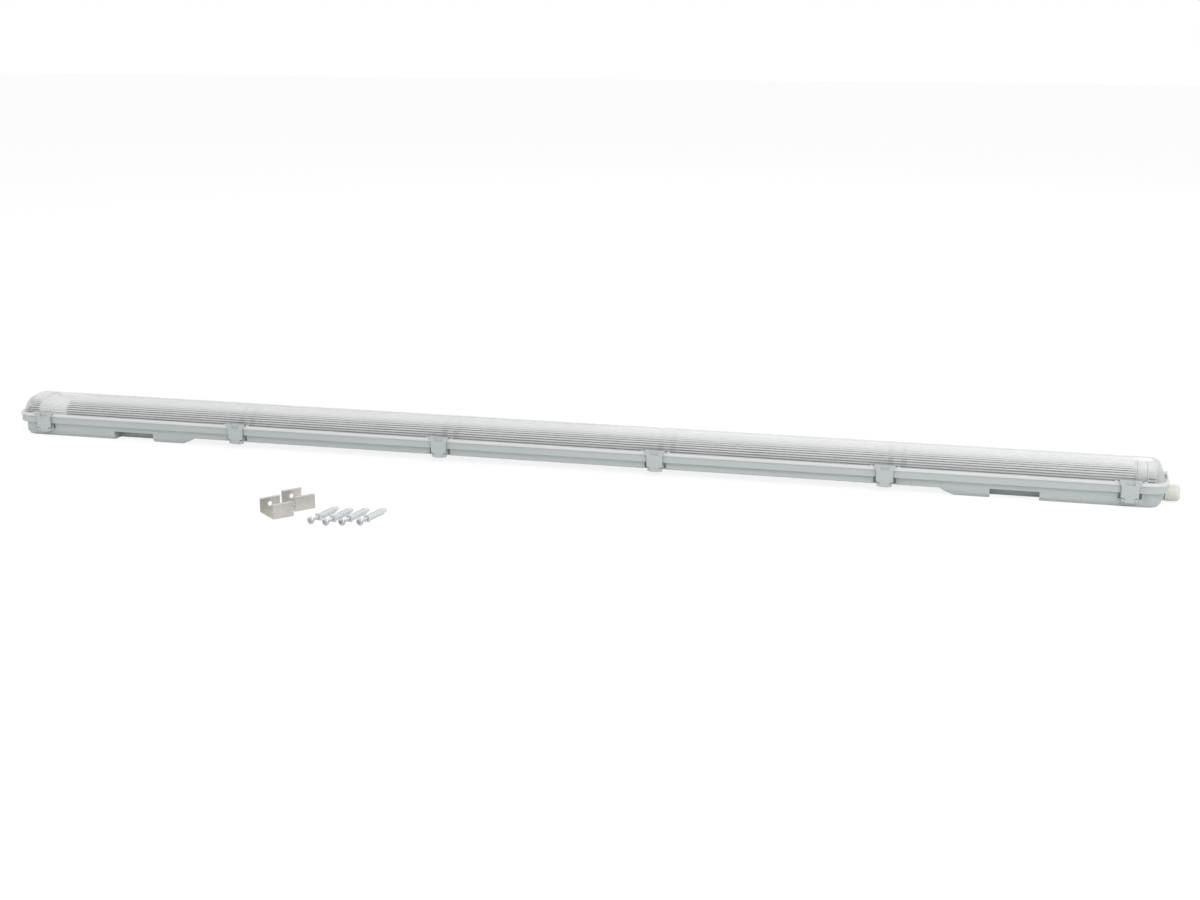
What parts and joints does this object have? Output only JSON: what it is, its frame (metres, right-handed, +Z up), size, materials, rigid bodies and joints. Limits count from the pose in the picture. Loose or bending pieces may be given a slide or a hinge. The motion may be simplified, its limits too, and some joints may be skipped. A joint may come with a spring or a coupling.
{
  "type": "vapor tight light fixture",
  "caption": "Long sealed batten light with a clear ribbed cover held by side clips, a tubular lamp inside, a cable gland at one end and loose fixing brackets and screws.",
  "frame": {"origin": "midway between the two bracket seats, on the plane of the feet", "axes": "+X along the fixture to the cable gland, -Y to the side where the loose kit lies, +Z up through the cover"},
  "size_m": [1.5661, 0.3866, 0.0545],
  "materials": {
    "grey_plastic": "light grey moulded polycarbonate, fine matt",
    "clip_plastic": "light grey moulded clip plastic",
    "clear_cover": "clear polycarbonate with fine lengthwise ribs inside",
    "seal_foam": "dark foamed seal",
    "white_enamel": "white enamelled sheet steel",
    "white_plastic": "white moulded plastic",
    "frosted_tube": "frosted white tube",
    "pin_metal": "plated contact pins",
    "board_white": "white circuit board",
    "gland_cream": "cream nylon",
    "wire_dark": "dark wire insulation",
    "zinc_steel": "bright zinc-plated steel",
    "stainless": "pressed stainless sheet",
    "plug_plastic": "light grey nylon"
  },
  "bodies": {
    "fixture": {"housing": "grey_plastic", "gasket": "seal_foam", "gear_tray": "white_enamel", "tray_screw_1": "zinc_steel", "tray_screw_2": "zinc_steel", "tray_screw_3": "zinc_steel", "tray_screw_4": "zinc_steel", "earth_screw": "zinc_steel", "lampholder_left": "white_plastic", "lampholder_right": "white_plastic", "terminal_block": "white_plastic", "terminal_screw_1": "zinc_steel", "terminal_screw_2": "zinc_steel", "terminal_screw_3": "zinc_steel", "supply_wire": "wire_dark", "return_wire": "wire_dark", "gland_body": "gland_cream", "gland_seal": "seal_foam", "gland_locknut": "gland_cream", "mounting_bracket_1": "stainless", "mounting_bracket_2": "stainless", "bracket_screw_1": "zinc_steel", "wall_plug_1": "plug_plastic", "bracket_screw_2": "zinc_steel", "wall_plug_2": "plug_plastic", "bracket_screw_3": "zinc_steel", "wall_plug_3": "plug_plastic", "bracket_screw_4": "zinc_steel", "wall_plug_4": "plug_plastic"},
    "cover": {"cover": "clear_cover"},
    "lamp": {"lamp_tube": "frosted_tube", "tube_label_band": "white_plastic", "led_board": "board_white", "tube_cap_left": "white_plastic", "tube_cap_right": "white_plastic", "tube_pin_left_1": "pin_metal", "tube_pin_left_2": "pin_metal", "tube_pin_right_1": "pin_metal", "tube_pin_right_2": "pin_metal", "rotor_left": "white_plastic", "rotor_right": "white_plastic"},
    "gland_nut": {"gland_nut": "gland_cream"},
    "front_clip_1": {"front_clip_1": "clip_plastic"},
    "front_clip_2": {"front_clip_2": "clip_plastic"},
    "front_clip_3": {"front_clip_3": "clip_plastic"},
    "front_clip_4": {"front_clip_4": "clip_plastic"},
    "front_clip_5": {"front_clip_5": "clip_plastic"},
    "front_clip_6": {"front_clip_6": "clip_plastic"},
    "rear_clip_1": {"rear_clip_1": "clip_plastic"},
    "rear_clip_2": {"rear_clip_2": "clip_plastic"},
    "rear_clip_3": {"rear_clip_3": "clip_plastic"},
    "rear_clip_4": {"rear_clip_4": "clip_plastic"},
    "rear_clip_5": {"rear_clip_5": "clip_plastic"},
    "rear_clip_6": {"rear_clip_6": "clip_plastic"}
  },
  "joints": [
    {"name": "cover_lift", "type": "slide", "parent": "fixture", "child": "cover", "axis": [0, 0, 1], "range_m": [0, 0.04]},
    {"name": "tube_turn", "type": "hinge", "parent": "fixture", "child": "lamp", "pos_m": [0, 0, 0.0368], "axis": [1, 0, 0], "range_deg": [0, 90]},
    {"name": "gland_nut_turn", "type": "hinge", "parent": "fixture", "child": "gland_nut", "pos_m": [0.779, 0, 0.0118], "axis": [1, 0, 0], "range_deg": [0, 720]},
    {"name": "front_clip_1_hinge", "type": "hinge", "parent": "fixture", "child": "front_clip_1", "pos_m": [-0.73, -0.0404, 0.0094], "axis": [1, 0, 0], "range_deg": [0, 120]},
    {"name": "front_clip_2_hinge", "type": "hinge", "parent": "fixture", "child": "front_clip_2", "pos_m": [-0.438, -0.0404, 0.0094], "axis": [1, 0, 0], "range_deg": [0, 120]},
    {"name": "front_clip_3_hinge", "type": "hinge", "parent": "fixture", "child": "front_clip_3", "pos_m": [-0.146, -0.0404, 0.0094], "axis": [1, 0, 0], "range_deg": [0, 120]},
    {"name": "front_clip_4_hinge", "type": "hinge", "parent": "fixture", "child": "front_clip_4", "pos_m": [0.146, -0.0404, 0.0094], "axis": [1, 0, 0], "range_deg": [0, 120]},
    {"name": "front_clip_5_hinge", "type": "hinge", "parent": "fixture", "child": "front_clip_5", "pos_m": [0.438, -0.0404, 0.0094], "axis": [1, 0, 0], "range_deg": [0, 120]},
    {"name": "front_clip_6_hinge", "type": "hinge", "parent": "fixture", "child": "front_clip_6", "pos_m": [0.73, -0.0404, 0.0094], "axis": [1, 0, 0], "range_deg": [0, 120]},
    {"name": "rear_clip_1_hinge", "type": "hinge", "parent": "fixture", "child": "rear_clip_1", "pos_m": [-0.73, 0.0404, 0.0094], "axis": [-1, 0, 0], "range_deg": [0, 120]},
    {"name": "rear_clip_2_hinge", "type": "hinge", "parent": "fixture", "child": "rear_clip_2", "pos_m": [-0.438, 0.0404, 0.0094], "axis": [-1, 0, 0], "range_deg": [0, 120]},
    {"name": "rear_clip_3_hinge", "type": "hinge", "parent": "fixture", "child": "rear_clip_3", "pos_m": [-0.146, 0.0404, 0.0094], "axis": [-1, 0, 0], "range_deg": [0, 120]},
    {"name": "rear_clip_4_hinge", "type": "hinge", "parent": "fixture", "child": "rear_clip_4", "pos_m": [0.146, 0.0404, 0.0094], "axis": [-1, 0, 0], "range_deg": [0, 120]},
    {"name": "rear_clip_5_hinge", "type": "hinge", "parent": "fixture", "child": "rear_clip_5", "pos_m": [0.438, 0.0404, 0.0094], "axis": [-1, 0, 0], "range_deg": [0, 120]},
    {"name": "rear_clip_6_hinge", "type": "hinge", "parent": "fixture", "child": "rear_clip_6", "pos_m": [0.73, 0.0404, 0.0094], "axis": [-1, 0, 0], "range_deg": [0, 120]}
  ],
  "couplings": [
    {"joint": "front_clip_1_hinge", "follows": "cover_lift", "rad_per_m": 52.35},
    {"joint": "front_clip_2_hinge", "follows": "cover_lift", "rad_per_m": 52.35},
    {"joint": "front_clip_3_hinge", "follows": "cover_lift", "rad_per_m": 52.35},
    {"joint": "front_clip_4_hinge", "follows": "cover_lift", "rad_per_m": 52.35},
    {"joint": "front_clip_5_hinge", "follows": "cover_lift", "rad_per_m": 52.35},
    {"joint": "front_clip_6_hinge", "follows": "cover_lift", "rad_per_m": 52.35},
    {"joint": "rear_clip_1_hinge", "follows": "cover_lift", "rad_per_m": 52.35},
    {"joint": "rear_clip_2_hinge", "follows": "cover_lift", "rad_per_m": 52.35},
    {"joint": "rear_clip_3_hinge", "follows": "cover_lift", "rad_per_m": 52.35},
    {"joint": "rear_clip_4_hinge", "follows": "cover_lift", "rad_per_m": 52.35},
    {"joint": "rear_clip_5_hinge", "follows": "cover_lift", "rad_per_m": 52.35},
    {"joint": "rear_clip_6_hinge", "follows": "cover_lift", "rad_per_m": 52.35}
  ]
}
